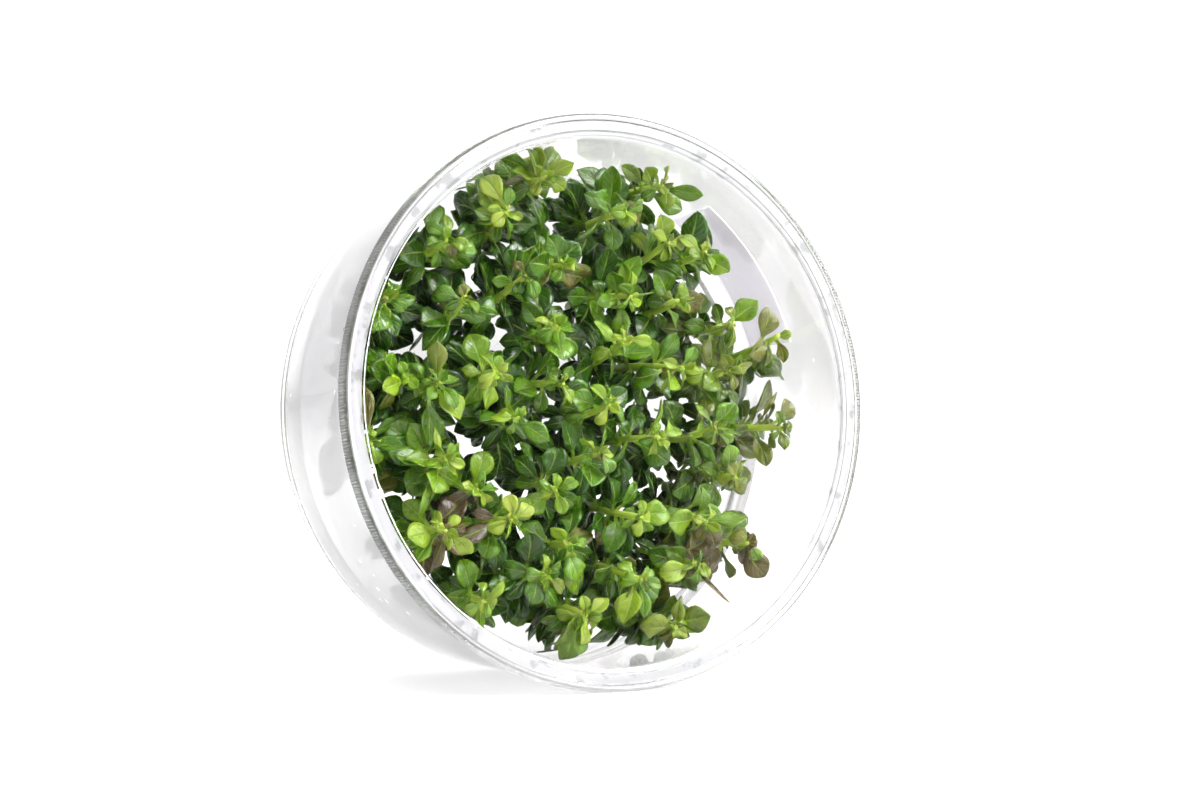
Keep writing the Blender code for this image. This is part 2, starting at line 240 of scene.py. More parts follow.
def tree_of(points, faces):
    return BVHTree.FromPolygons([tuple(p) for p in points], faces)


def stem_tree(shoot):
    """A tube round a stem, wider by the gap that leaves keep."""
    points = []
    faces = []
    for ring in range(GUARD_RINGS):
        t = ring / (GUARD_RINGS - 1)
        axis, side = stem_frame(shoot, t)
        other = axis.cross(side)
        radius = stem_radius(t) + 2 * LEAF_GAP
        for k in range(GUARD_SIDES):
            angle = math.radians(360 / GUARD_SIDES * k)
            out = side * math.cos(angle) + other * math.sin(angle)
            points.append(stem_point(shoot, t) + out * radius)
    for ring in range(GUARD_RINGS - 1):
        for k in range(GUARD_SIDES):
            a = ring * GUARD_SIDES + k
            b = ring * GUARD_SIDES + (k + 1) % GUARD_SIDES
            faces.append((a, b, b + GUARD_SIDES, a + GUARD_SIDES))
    return tree_of(points, faces)


def outer_wall_r(z):
    return BASE_R + (NECK_R - BASE_R) * (z - BASE_EDGE_Z) / (NECK_Z - BASE_EDGE_Z)


def inner_wall_r(z):
    return outer_wall_r(min(z, NECK_Z)) - WALL


def inside_cup(points, wall_gap):
    """True where every point keeps off the wall, the gel and the lid."""
    lid_under = PANEL_TOP - LID_SHEET
    for p in points:
        if p.z < GEL_TOP + CLEAR + FLOOR_GAP or p.z > lid_under - wall_gap:
            return False
        if math.hypot(p.x, p.y) > inner_wall_r(p.z) - wall_gap:
            return False
    return True


def fits(leaf, owner, shoots, stems, gap=LEAF_GAP, wall_gap=WALL_GAP):
    """True where a leaf is inside the cup and touches no stem or leaf that is already there."""
    body = leaf_points(leaf, FIT_STATIONS, gap)
    if not inside_cup(body, wall_gap):
        return False
    whole = tree_of(body, loft_faces(len(FIT_STATIONS)))
    blade = tree_of(body[3 * BLADE_FROM:], loft_faces(len(FIT_STATIONS) - BLADE_FROM))
    centre = leaf_path(leaf, LEAF_CENTRE)[0]
    for index, shoot in enumerate(shoots):
        if index != owner and whole.overlap(stems[index]):
            return False
        for other in shoot["leaves"]:
            apart = (other["centre"] - centre).length
            if apart > OUT_OF_TOUCH * (other["length"] + leaf["length"]):
                continue
            mine, theirs = (blade, other["blade"]) if index == owner else (whole, other["whole"])
            if mine.overlap(theirs):
                return False
    leaf["whole"] = whole
    leaf["blade"] = blade
    leaf["centre"] = centre
    return True


def plan_leaf(shoot, node, attempt, rng):
    """One leaf on a stem: long and wide open low down, short and upright near the tip."""
    first, last = LEAF_LEVELS
    t = first + (last - first) * node / (LEAVES - 1)
    axis, side = stem_frame(shoot, t)
    other = axis.cross(side)
    stray = rng.uniform(-LEAF_TURN, LEAF_TURN) * (1 + attempt)
    azimuth = shoot["turn"] + node * GOLDEN_ANGLE + stray
    out = side * math.cos(azimuth) + other * math.sin(azimuth)
    low = rng.uniform(*LEAF_LONG)
    high = rng.uniform(*LEAF_SHORT)
    length = (low + (high - low) * t) * LEAF_SHRINK ** attempt
    return {
        "axis": axis,
        "out": out,
        "root": stem_point(shoot, t),
        "length": length,
        "width": length * rng.uniform(*LEAF_BROAD),
        "open": math.radians(rng.uniform(*LEAF_OPEN) - LEAF_CLOSING * t),
        "curl": math.radians(rng.uniform(*LEAF_CURL)),
        "cup": rng.uniform(*LEAF_CUP),
        "roll": rng.uniform(-LEAF_ROLL, LEAF_ROLL),
        "level": t,
    }


def plan_tip(shoot, rng):
    """The small upright leaf that ends a shoot."""
    axis, side = stem_frame(shoot, 1.0)
    other = axis.cross(side)
    azimuth = shoot["turn"] + LEAVES * GOLDEN_ANGLE
    length = rng.uniform(*TIP_LENGTH)
    return {
        "axis": axis,
        "out": side * math.cos(azimuth) + other * math.sin(azimuth),
        "root": stem_point(shoot, TIP_ROOT),
        "length": length,
        "width": length * TIP_BROAD,
        "open": math.radians(TIP_OPEN),
        "curl": math.radians(TIP_CURL),
        "cup": TIP_CUP,
        "roll": 0.0,
        "level": 1.0,
    }


def grow_colony():
    """All shoots with the leaves that find room, planned level by level over the whole colony."""
    rng = random.Random(SEED)
    shoots = plan_stems(rng)
    stems = [stem_tree(shoot) for shoot in shoots]
    for index, shoot in enumerate(shoots):
        tip = plan_tip(shoot, rng)
        if fits(tip, index, shoots, stems):
            shoot["leaves"].append(tip)
    for node in reversed(range(LEAVES)):
        for index, shoot in enumerate(shoots):
            for attempt in range(LEAF_TRIES):
                leaf = plan_leaf(shoot, node, attempt, rng)
                if fits(leaf, index, shoots, stems):
                    shoot["leaves"].append(leaf)
                    break
    return shoots, stems


# Smaller leaves between those of the solids: level on the stem, turn from the level's own
# direction, length, half width to length, opening and curl in degrees, and how many on a stem.
# Kinds with a reach grow on the outer shoots alone, and point to the wall. Those with places to
# be near grow only on shoots whose tips are near one of them, in the cup's x and y.
FILL_SEED = 11
FILL_TRIES = 14
FILL_GAP = 0.02
FILL_WALL_GAP = 0.28
FILL_SHRINK = 0.94
FILL_STRAY = 0.3
FILL_CUP = (-0.15, 0.5)
FILL_ROLL = 0.9
FILL = [
    {"level": (0.93, 1.0), "turn": 0.0, "length": (3.4, 6.0), "broad": (0.17, 0.27),
     "open": (22, 62), "curl": (50, 165), "count": 5},
    {"level": (0.99, 1.0), "turn": 0.6, "length": (1.6, 2.8), "broad": (0.20, 0.30),
     "open": (12, 44), "curl": (10, 90), "count": 3},
    {"level": (0.66, 0.88), "turn": math.pi, "length": (4.5, 8.5), "broad": (0.15, 0.25),
     "open": (30, 74), "curl": (30, 160), "count": 4},
    {"level": (0.30, 0.95), "turn": 0.0, "length": (5.0, 11.0), "broad": (0.17, 0.30),
     "open": (36, 90), "curl": (-15, 90), "count": 8, "reach": 20.0},
    {"level": (0.35, 1.0), "turn": 0.0, "length": (5.0, 9.5), "broad": (0.16, 0.27),
     "open": (30, 95), "curl": (-10, 80), "count": 9, "reach": 24.0,
     "near": ((3.0, -42.0), (-5.0, 43.0))},
    {"level": (0.55, 1.0), "turn": 0.0, "length": (6.0, 11.0), "broad": (0.18, 0.28),
     "open": (45, 100), "curl": (-20, 60), "count": 7, "reach": 24.0,
     "near": ((-42.0, 12.0), (-42.0, -6.0), (-36.0, -22.0))},
    {"level": (0.50, 1.0), "turn": 0.0, "length": (3.0, 6.5), "broad": (0.15, 0.24),
     "open": (28, 85), "curl": (50, 170), "count": 8, "reach": 18.0,
     "near": ((34.0, 0.0), (34.0, -13.0), (29.0, -25.0))},
    {"level": (0.34, 0.66), "turn": math.pi, "length": (6.0, 11.0), "broad": (0.17, 0.28),
     "open": (38, 88), "curl": (-10, 130), "count": 9},
    {"level": (0.06, 0.40), "turn": 1.2, "length": (6.0, 12.0), "broad": (0.19, 0.31),
     "open": (46, 94), "curl": (-30, 70), "count": 12},
    {"level": (0.25, 1.0), "turn": 0.0, "length": (5.0, 11.5), "broad": (0.16, 0.25),
     "open": (45, 115), "curl": (-10, 70), "count": 12, "reach": 18.0,
     "near": ((4.0, -36.0), (14.0, -33.0), (-6.0, 40.0))},
]
# Outer shoots on this side of the cup, by x against reach, send no leaves to the wall
BARE_SIDE = 0.72
# No smaller leaves beyond this x between these two y
BARE_FROM_X = 29.0
BARE_Y = (6.5, 21.5)
# How near a tip has to be to a kind's places
NEAR = 15.0


def plan_fill(shoot, kind, number, attempt, rng):
    """One smaller leaf of a kind; each further attempt strays more and is shorter."""
    t = rng.uniform(*kind["level"])
    axis, side = stem_frame(shoot, t)
    other = axis.cross(side)
    stray = rng.uniform(-FILL_STRAY, FILL_STRAY) * (1 + attempt)
    azimuth = shoot["turn"] + kind["turn"] + number * GOLDEN_ANGLE + stray
    out = side * math.cos(azimuth) + other * math.sin(azimuth)
    if "reach" in kind:
        foot = shoot["foot"]
        aside = Vector((rng.uniform(-1.0, 1.0), rng.uniform(-1.0, 1.0), 0.0))
        out = (Vector((foot.x, foot.y, 0.0)).normalized() + aside).normalized()
        out = (out - axis * out.dot(axis)).normalized()
    length = rng.uniform(*kind["length"]) * FILL_SHRINK ** attempt
    return {
        "axis": axis,
        "out": out,
        "root": stem_point(shoot, t),
        "length": length,
        "width": length * rng.uniform(*kind["broad"]),
        "open": math.radians(rng.uniform(*kind["open"])),
        "curl": math.radians(rng.uniform(*kind["curl"])),
        "cup": rng.uniform(*FILL_CUP),
        "roll": rng.uniform(-FILL_ROLL, FILL_ROLL),
        "level": t,
    }


def fill_colony(shoots, stems):
    """Adds the smaller leaves that find room, kind by kind."""
    rng = random.Random(FILL_SEED)
    for kind in FILL:
        for number in range(kind["count"]):
            for index, shoot in enumerate(shoots):
                tip = stem_point(shoot, 1.0)
                reach = math.hypot(shoot["foot"].x, shoot["foot"].y)
                bare = "reach" in kind and "near" not in kind and shoot["foot"].x > BARE_SIDE * reach
                near = [math.hypot(tip.x - x, tip.y - y) < NEAR for x, y in kind.get("near", ())]
                if bare or reach < kind.get("reach", 0.0) or (near and not any(near)):
                    continue
                for attempt in range(FILL_TRIES):
                    leaf = plan_fill(shoot, kind, number, attempt, rng)
                    end = leaf_path(leaf, 1.0)[0]
                    if end.x > BARE_FROM_X and BARE_Y[0] < end.y < BARE_Y[1]:
                        continue
                    if fits(leaf, index, shoots, stems, FILL_GAP, FILL_WALL_GAP):
                        shoot["leaves"].append(leaf)
                        break


# Tone of a leaf: least, rise towards the tip and its power, stray of a shoot and of a leaf
TINT_SEED = 5
TONE_LEAST = 0.04
TONE_RISE = 0.66
TONE_POWER = 2.4
SHOOT_STRAY = (-0.08, 0.14)
LEAF_STRAY = (-0.2, 0.26)
# Where the colony's edge starts to turn olive, to the right, at the top and at the bottom, and
# over how far
EDGE_RIGHT, EDGE_RIGHT_WIDTH = 14.0, 20.0
EDGE_TOP, EDGE_BOTTOM, EDGE_WIDTH = 28.0, -26.0, 22.0
EDGE_TURNED = 0.55
ODD_SHARE = 0.05
SPOT_SHARE = 0.75
# Where leaves have turned: centre in the cup's x and y, radius, how far
TURNED_SPOTS = [
    (-24.0, -19.0, 5.0, 0.95),
    (-27.5, -23.0, 4.0, 0.9),
    (22.0, -27.0, 4.5, 0.8),
    (27.0, -29.0, 6.0, 0.85),
]


def tint_colony(shoots):
    """Age and turning of each leaf: old leaves dark and low, young ones yellow-green and high."""
    rng = random.Random(TINT_SEED)
    for shoot in shoots:
        pale = rng.uniform(*SHOOT_STRAY)
        tip = stem_point(shoot, 1.0)
        edge = max(0.0, tip.x - EDGE_RIGHT) / EDGE_RIGHT_WIDTH
        edge += max(0.0, tip.y - EDGE_TOP) / EDGE_WIDTH + max(0.0, EDGE_BOTTOM - tip.y) / EDGE_WIDTH
        for leaf in shoot["leaves"]:
            level = leaf["level"]
            tone = TONE_LEAST + TONE_RISE * level ** TONE_POWER + pale + rng.uniform(*LEAF_STRAY)
            leaf["tone"] = min(1.0, max(0.0, tone))
            turned = EDGE_TURNED * min(edge, 1.0) * (0.4 + 0.6 * level) * rng.uniform(0.3, 1.1)
            if rng.random() < ODD_SHARE:
                turned = rng.uniform(0.35, 0.6)
            end = leaf_path(leaf, 0.7)[0]
            for x, y, radius, how_far in TURNED_SPOTS:
                if math.hypot(end.x - x, end.y - y) < radius and rng.random() < SPOT_SHARE:
                    turned = how_far * rng.uniform(0.75, 1.0)
            leaf["turned"] = min(turned, 1.0)
            leaf["margin"] = rng.uniform(-0.5, 0.15)
            leaf["wave"] = rng.uniform(0.0, 0.12)
            leaf["twist"] = rng.uniform(-1.2, 1.2)
            leaf["hook"] = math.radians(rng.uniform(-10.0, 75.0))
            leaf["full"] = rng.uniform(0.70, 1.20)
            leaf["skew"] = rng.uniform(1.0, 1.35)
            leaf["phase"] = rng.uniform(0.0, 6.28)
            leaf["chance"] = rng.random()


# Fine leaf: stations along it and places across it
ALONG = (0.0, 0.125, 0.25, 0.325, 0.425, 0.525, 0.625, 0.725, 0.825, 0.90, 0.95)
ACROSS = (-1.0, -0.64, -0.22, 0.0, 0.22, 0.64, 1.0)
BLADE_THICK = 0.24
STALK_THICK = 0.42
HOOK_FROM = 0.45
FINE_STEPS = 40
# The blade widens out of the stalk from here, over this length
BLADE_START = 0.2
BLADE_RUN = 0.25
CUP_POWER = 1.6
MARGIN_FROM = 0.5
MARGIN_BEND = 2.0
WAVES_ALONG = 9.0
WAVES_ACROSS = 2.2
CREASE_DEPTH = 0.07
CREASE_WIDTH = 0.16
EDGE_THINNING = 0.6


def fine_half_width(leaf, s):
    """Each leaf's own outline: rounder or more pointed, and widest at its own place."""
    if s < STALK_END:
        return STALK_HALF
    u = (s - STALK_END) / (1.0 - STALK_END)
    return STALK_HALF * (1.0 - u) + leaf["width"] * math.sin(math.pi * u ** leaf["skew"]) ** leaf["full"]


def hooked_path(leaf, stations):
    """The leaf's own path with its tip bent down further: point, direction and upper side of each."""
    point = leaf["root"].copy()
    reached = 0
    places = []
    for s in stations:
        for i in range(reached, round(s * FINE_STEPS)):
            angle = hooked_angle(leaf, (i + 0.5) / FINE_STEPS)
            ahead = leaf["axis"] * math.cos(angle) + leaf["out"] * math.sin(angle)
            point = point + ahead * (leaf["length"] / FINE_STEPS)
        reached = round(s * FINE_STEPS)
        angle = hooked_angle(leaf, s)
        ahead = leaf["axis"] * math.cos(angle) + leaf["out"] * math.sin(angle)
        places.append((point, ahead, leaf["axis"] * math.sin(angle) - leaf["out"] * math.cos(angle)))
    return places


def hooked_angle(leaf, s):
    past = max(0.0, (s - HOOK_FROM) / (1.0 - HOOK_FROM))
    return leaf["open"] + leaf["curl"] * s + leaf["hook"] * past ** 2


def leaf_rows(leaf):
    """Upper and lower points of a leaf, row by row from root to tip."""
    upper_rows = []
    lower_rows = []
    places = hooked_path(leaf, ALONG + (1.0,))
    for s, (point, ahead, upper) in zip(ALONG, places):
        side = ahead.cross(upper)
        roll = leaf["roll"] + leaf["twist"] * max(0.0, s - STALK_END)
        across = side * math.cos(roll) + upper * math.sin(roll)
        face = upper * math.cos(roll) - side * math.sin(roll)
        half = fine_half_width(leaf, s)
        blade = min(1.0, max(0.0, (s - BLADE_START) / BLADE_RUN))
        thick = STALK_THICK + (BLADE_THICK - STALK_THICK) * blade
        tops = []
        lows = []
        for v in ACROSS:
            wave = math.sin(WAVES_ALONG * s + leaf["phase"] + WAVES_ACROSS * v)
            lift = leaf["cup"] * half * abs(v) ** CUP_POWER
            lift += blade * leaf["margin"] * half * max(0.0, abs(v) - MARGIN_FROM) ** 2 * MARGIN_BEND
            lift += blade * leaf["wave"] * half * v * v * wave
            lift -= blade * CREASE_DEPTH * math.exp(-(v / CREASE_WIDTH) ** 2)
            top = point + across * (half * v) + face * lift
            tops.append(top)
            lows.append(top - face * thick * (1.0 - EDGE_THINNING * v * v))
        upper_rows.append(tops)
        lower_rows.append(lows)
    return upper_rows, lower_rows, places[-1][0]


def add_leaf(bm, leaf, uv_layer, look_layer):
    """One closed leaf blade with its stalk. Its UV runs across and along; its look is a colour of
    tone, how far it has turned, underside and a number of the leaf's own."""
    uppers, lowers, tip = leaf_rows(leaf)
    rows = len(ALONG)
    cols = len(ACROSS)
    top = [[bm.verts.new(TO_WORLD @ p) for p in row] for row in uppers]
    low = [[bm.verts.new(TO_WORLD @ p) for p in row] for row in lowers]
    end = bm.verts.new(TO_WORLD @ tip)
    place = {}
    for i in range(rows):
        for j in range(cols):
            place[top[i][j]] = (0.5 + 0.5 * ACROSS[j], ALONG[i])
            place[low[i][j]] = (0.5 + 0.5 * ACROSS[j], ALONG[i])
    place[end] = (0.5, 1.0)

    def face(verts, under):
        made = bm.faces.new(verts[::-1])
        made.smooth = True
        for loop in made.loops:
            loop[uv_layer].uv = place[loop.vert]
            loop[look_layer] = (leaf["tone"], leaf["turned"], under, leaf["chance"])

    for i in range(rows - 1):
        for j in range(cols - 1):
            face((top[i][j], top[i + 1][j], top[i + 1][j + 1], top[i][j + 1]), 0.0)
            face((low[i][j], low[i][j + 1], low[i + 1][j + 1], low[i + 1][j]), 1.0)
        face((top[i][0], low[i][0], low[i + 1][0], top[i + 1][0]), 0.5)
        face((top[i][-1], top[i + 1][-1], low[i + 1][-1], low[i][-1]), 0.5)
    last = rows - 1
    for j in range(cols - 1):
        face((top[last][j], end, top[last][j + 1]), 0.0)
        face((low[last][j], low[last][j + 1], end), 1.0)
        face((top[0][j], top[0][j + 1], low[0][j + 1], low[0][j]), 0.5)
    face((top[last][0], low[last][0], end), 0.5)
    face((top[last][-1], end, low[last][-1]), 0.5)


STEM_RINGS = 22
STEM_SIDES = 10
JOINT_SWELL = 0.16
JOINT_WIDTH = 0.025
BUD_RISE = 0.7


def add_stem(bm, shoot, uv_layer, look_layer):
    """A round stem that swells a little at each of the solid's leaves and ends in a blunt bud."""
    rings = []
    first, last = LEAF_LEVELS
    joints = [first + (last - first) * n / (LEAVES - 1) for n in range(LEAVES)]
    for i in range(STEM_RINGS + 1):
        t = i / STEM_RINGS
        axis, side = stem_frame(shoot, t)
        other = axis.cross(side)
        swell = sum(JOINT_SWELL * math.exp(-((t - joint) / JOINT_WIDTH) ** 2) for joint in joints)
        radius = stem_radius(t) * (1.0 + swell)
        ring = []
        for k in range(STEM_SIDES):
            angle = 2 * math.pi * k / STEM_SIDES
            out = side * math.cos(angle) + other * math.sin(angle)
            ring.append(bm.verts.new(TO_WORLD @ (stem_point(shoot, t) + out * radius)))
        rings.append((ring, t))
    bud_tip = stem_point(shoot, 1.0) + stem_frame(shoot, 1.0)[0] * STEM_TIP_R * BUD_RISE
    bud = bm.verts.new(TO_WORLD @ bud_tip)
    foot = bm.verts.new(TO_WORLD @ stem_point(shoot, 0.0))

    def face(verts, values):
        made = bm.faces.new(verts)
        made.smooth = True
        made.material_index = 1
        for loop, (u, v) in zip(made.loops, values):
            loop[uv_layer].uv = (u, v)
            loop[look_layer] = (0.5, 0.0, 0.0, 1.0)

    for (a, t_a), (b, t_b) in zip(rings, rings[1:]):
        for k in range(STEM_SIDES):
            n = (k + 1) % STEM_SIDES
            u, w = k / STEM_SIDES, (k + 1) / STEM_SIDES
            face((a[k], a[n], b[n], b[k]), ((u, t_a), (w, t_a), (w, t_b), (u, t_b)))
    first, last = rings[0][0], rings[-1][0]
    for k in range(STEM_SIDES):
        n = (k + 1) % STEM_SIDES
        face((last[k], last[n], bud), ((0, 1), (0, 1), (0, 1)))
        face((first[n], first[k], foot), ((0, 0), (0, 0), (0, 0)))


# Node materials


class Net:
    """A node tree to add to. A value is a number, a colour, a vector or another node's output."""

    def __init__(self, tree):
        self.tree = tree

    def give(self, socket, value):
        if isinstance(value, bpy.types.NodeSocket):
            self.tree.links.new(value, socket)
        elif isinstance(value, tuple) and socket.type == "RGBA":
            socket.default_value = (*value, 1.0)
        elif value is not None:
            socket.default_value = value

    def fill(self, node, values):
        """Gives values to a node's inputs by name or number."""
        for name, value in values.items():
            self.give(node.inputs[name], value)
        return node

    def new(self, kind, values=None, **settings):
        node = self.tree.nodes.new(kind)
        for setting, value in settings.items():
            setattr(node, setting, value)
        return self.fill(node, values or {})

    def math(self, operation, first, second=None, clamp=False):
        node = self.new("ShaderNodeMath", {0: first, 1: second}, operation=operation, use_clamp=clamp)
        return node.outputs[0]

    def times(self, first, second):
        return self.math("MULTIPLY", first, second)

    def plus(self, first, second, clamp=False):
        return self.math("ADD", first, second, clamp)

    def step(self, value, low, high, to_low=0.0, to_high=1.0):
        """Goes smoothly from to_low, where the value is low, to to_high, where it is high."""
        node = self.new("ShaderNodeMapRange", {0: value, 1: low, 2: high, 3: to_low, 4: to_high},
                        interpolation_type="SMOOTHSTEP")
        return node.outputs[0]

    def ramp(self, factor, stops):
        node = self.new("ShaderNodeValToRGB", {0: factor})
        elements = node.color_ramp.elements
        while len(elements) < len(stops):
            elements.new(0.5)
        for element, (position, color) in zip(elements, stops):
            element.position = position
            element.color = (*color, 1.0)
        return node.outputs["Color"]

    def mix(self, factor, first, second, blend="MIX"):
        node = self.new("ShaderNodeMix", {0: factor, 6: first, 7: second},
                        data_type="RGBA", blend_type=blend)
        return node.outputs[2]

    def noise(self, place, scale, detail=3.0, roughness=0.5):
        values = {"Vector": place, "Scale": scale, "Detail": detail, "Roughness": roughness}
        return self.new("ShaderNodeTexNoise", values).outputs["Fac"]

    def bump(self, height, distance, strength=1.0):
        values = {"Height": height, "Distance": distance, "Strength": strength}
        return self.new("ShaderNodeBump", values).outputs["Normal"]

    def split(self, vector):
        return self.new("ShaderNodeSeparateXYZ", {0: vector}).outputs

    def object_place(self):
        return self.new("ShaderNodeTexCoord").outputs["Object"]

    def uv_place(self):
        return self.new("ShaderNodeUVMap", uv_map="leaf_uv").outputs["UV"]

    def mark(self, name):
        return self.new("ShaderNodeAttribute", attribute_name=name).outputs["Fac"]


def new_material(name):
    material = bpy.data.materials.new(name)
    material.use_nodes = True
    return material, Net(material.node_tree), material.node_tree.nodes["Principled BSDF"]


# Colours by age, and by how far a leaf has turned to olive and brown
LEAF_TONES = [
    (0.0, (0.010, 0.041, 0.001)),
    (0.3, (0.030, 0.106, 0.001)),
    (0.6, (0.102, 0.232, 0.002)),
    (0.85, (0.252, 0.370, 0.012)),
    (1.0, (0.390, 0.480, 0.060)),
]
TURNED_TONES = [
    (0.0, (0.090, 0.150, 0.006)),
    (0.45, (0.170, 0.165, 0.022)),
    (0.75, (0.130, 0.082, 0.034)),
    (1.0, (0.080, 0.042, 0.040)),
]
# Colours from a stem's foot to its tip
STEM_TONES = [(0.0, (0.16, 0.34, 0.01)), (0.45, (0.40, 0.62, 0.04)), (1.0, (0.64, 0.78, 0.14))]
SIDE_VEIN_PHASE = 52.0
SIDE_VEIN_SLANT = -0.55
MOTTLE_SCALE = 420.0


def leaf_material():
    """Glossy blade: tone by age, pale midrib, faint side veins, paler dull underside."""
    material, net, shader = new_material("leaf_blade")
    look = net.new("ShaderNodeAttribute", attribute_name="leaf_look").outputs["Color"]
    tone, turned, under = net.new("ShaderNodeSeparateColor", {0: look}).outputs[:3]
    across, along = net.split(net.uv_place())[:2]
    place = net.object_place()
    mottle = net.noise(place, MOTTLE_SCALE, 4.0, 0.6)
    broad = net.noise(place, 110.0, 2.0)

    off_centre = net.math("ABSOLUTE", net.math("SUBTRACT", across, 0.5))
    phase = net.times(net.plus(along, net.times(off_centre, SIDE_VEIN_SLANT)), SIDE_VEIN_PHASE)
    side_vein = net.times(net.step(net.math("SINE", phase), 0.72, 1.0), net.step(off_centre, 0.44, 0.30))
    midrib = net.times(net.step(off_centre, 0.055, 0.012), net.step(along, 0.98, 0.6, 0.35, 1.0))
    stalk = net.step(along, 0.34, 0.22)

    aged = net.plus(tone, net.times(net.math("SUBTRACT", broad, 0.5), 0.38), clamp=True)
    fresh, olive = net.ramp(aged, LEAF_TONES), net.ramp(turned, TURNED_TONES)
    color = net.mix(net.step(turned, 0.02, 0.55), fresh, olive)
    color = net.mix(1.0, color, net.step(mottle, 0.25, 0.75, 0.82, 1.16), "MULTIPLY")
    for part, share, shade in (
            (side_vein, 0.34, (0.20, 0.36, 0.04)), (midrib, 0.6, (0.42, 0.58, 0.13)),
            (stalk, 0.75, (0.36, 0.56, 0.06)), (under, 0.6, (0.25, 0.33, 0.09))):
        color = net.mix(net.times(part, share), color, shade)
    gloss = net.plus(net.step(mottle, 0.2, 0.8, 0.16, 0.28), net.times(under, 0.20))
    height = net.math("SUBTRACT", net.times(mottle, 0.35), net.plus(net.times(side_vein, 0.5), midrib))
    net.fill(shader, {
        "Base Color": color, "Roughness": net.plus(gloss, net.times(tone, 0.10)), "IOR": 1.45,
        "Specular IOR Level": 0.75, "Subsurface Weight": 0.35, "Subsurface Radius": (0.7, 1.0, 0.15),
        "Subsurface Scale": 0.0006, "Normal": net.bump(height, 0.00021)})
    return material


def stem_material():
    """Juicy stem: yellow-green, a little greener towards the foot, with fine long streaks."""
    material, net, shader = new_material("stem_skin")
    uv = net.uv_place()
    stretched = net.new("ShaderNodeMapping", {"Vector": uv, "Scale": (14.0, 2.0, 1.0)}).outputs[0]
    streaks = net.noise(stretched, 1.0)
    pale_streaks = net.step(streaks, 0.5, 0.85, 0.0, 0.5)
    net.fill(shader, {
        "Base Color": net.mix(pale_streaks, net.ramp(net.split(uv)[1], STEM_TONES), (0.62, 0.72, 0.27)),
        "Roughness": net.step(streaks, 0.2, 0.8, 0.3, 0.44), "Subsurface Weight": 0.4,
        "Subsurface Radius": (0.8, 1.0, 0.3), "Subsurface Scale": 0.0008,
        "Normal": net.bump(streaks, 0.00008)})
    return material


PLASTIC_TINT = (0.985, 0.980, 0.985)
PLASTIC_IOR = 1.49
GEL_TINT = (0.995, 0.998, 0.985)
GEL_IOR = 1.34
FILM_TINT = (0.62, 0.61, 0.63)
FILM_LEAST = 0.28
DROP_SCALE = 520.0
RIPPLE_SCALE = 60.0
RIPPLE_HEIGHT = 0.00006
RIPPLE_STRENGTH = 0.5


def gel_material():
    """See-through jelly with the faintest ripple."""
    material, net, shader = new_material("clear_gel")
    ripple = net.noise(net.object_place(), RIPPLE_SCALE, 2.0)
    net.fill(shader, {
        "Base Color": GEL_TINT, "Roughness": 0.06, "IOR": GEL_IOR, "Transmission Weight": 1.0,
        "Normal": net.bump(ripple, RIPPLE_HEIGHT, RIPPLE_STRENGTH)})
    return material


def droplets(net, place):
    """1 in the middle of scattered little drops, 0 between them."""
    cells = net.new("ShaderNodeTexVoronoi", {"Vector": place, "Scale": DROP_SCALE}).outputs
    chance = net.new("ShaderNodeSeparateColor", {0: cells["Color"]}).outputs[0]
    return net.math("LESS_THAN", cells["Distance"], net.step(chance, 0.80, 1.0, 0.0, 0.24))


def cup_material():
    """Clear plastic; on the inside of the wall a film of fine condensation, thickest towards -X."""
    material, net, shader = new_material("clear_cup_plastic")
    place = net.object_place()
    inside = net.mark("film")
    to_left = net.step(net.split(place)[0], 0.004, -0.030, FILM_LEAST, 1.0)
    patches = net.noise(place, 70.0, 4.0, 0.6)
    grain = net.noise(place, 1400.0, 2.0)
    ripple = net.noise(place, RIPPLE_SCALE, 2.0)
    drop = droplets(net, place)
    film = net.times(net.times(to_left, net.step(patches, 0.2, 0.7, 0.80, 1.0)), inside)
    film = net.times(film, net.step(drop, 0.0, 1.0, 1.0, 0.25))
    height = net.plus(net.plus(ripple, net.times(grain, 0.25)), net.times(drop, inside))
    net.fill(shader, {
        "Base Color": net.mix(film, PLASTIC_TINT, FILM_TINT), "IOR": PLASTIC_IOR,
        "Roughness": net.step(film, 0.0, 1.0, 0.02, 0.09),
        "Transmission Weight": net.step(film, 0.0, 1.0, 1.0, 0.30),
        "Normal": net.bump(height, RIPPLE_HEIGHT, RIPPLE_STRENGTH)})
    return material


